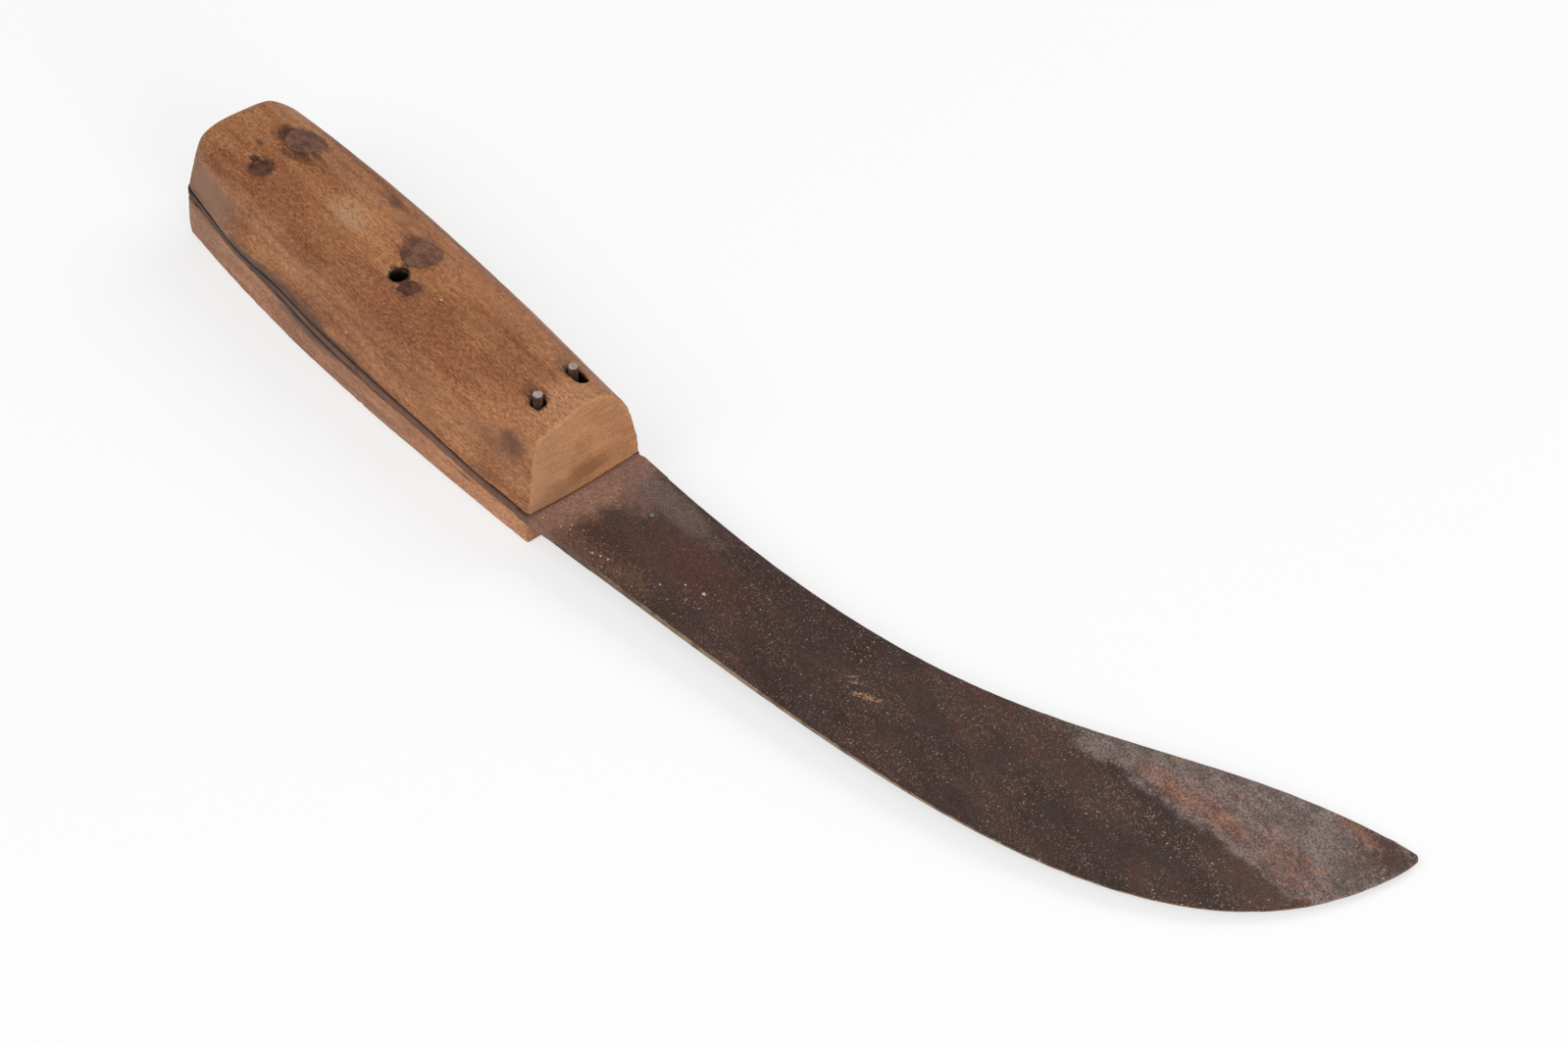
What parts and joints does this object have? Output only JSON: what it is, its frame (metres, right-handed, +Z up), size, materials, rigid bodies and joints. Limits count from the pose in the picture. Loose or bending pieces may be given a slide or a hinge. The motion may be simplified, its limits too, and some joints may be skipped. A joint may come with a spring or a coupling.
{
  "type": "skinning knife",
  "caption": "Old skinning knife with an upswept, widening steel blade, a full tang and two worn wooden scales held by rivets, nails and pins.",
  "frame": {"origin": "on the flat underside of the lower scale, half-way along the handle, on its long axis", "axes": "+X from the butt towards the tip, +Y towards the spine, +Z up out of the upper scale"},
  "size_m": [0.2765, 0.0735, 0.027],
  "materials": {
    "dark_steel": "dark brown patina with fine pale pitting, rust-red patches and a thin bright cutting edge",
    "old_wood": "bare close-grained hardwood, worn smooth and darkened by grease and iron stains",
    "rusty_iron": "dark rust-brown iron, the pin tops worn to grey"
  },
  "bodies": {
    "root": {"blade": "dark_steel", "upper_scale": "old_wood", "lower_scale": "old_wood", "rear_rivet_stud": "rusty_iron", "rear_rivet_tube": "rusty_iron", "middle_rivet_stud": "rusty_iron", "middle_rivet_tube": "rusty_iron", "rear_nail": "rusty_iron", "middle_nail": "rusty_iron", "edge_side_pin": "rusty_iron", "spine_side_pin": "rusty_iron"}
  },
  "joints": []
}
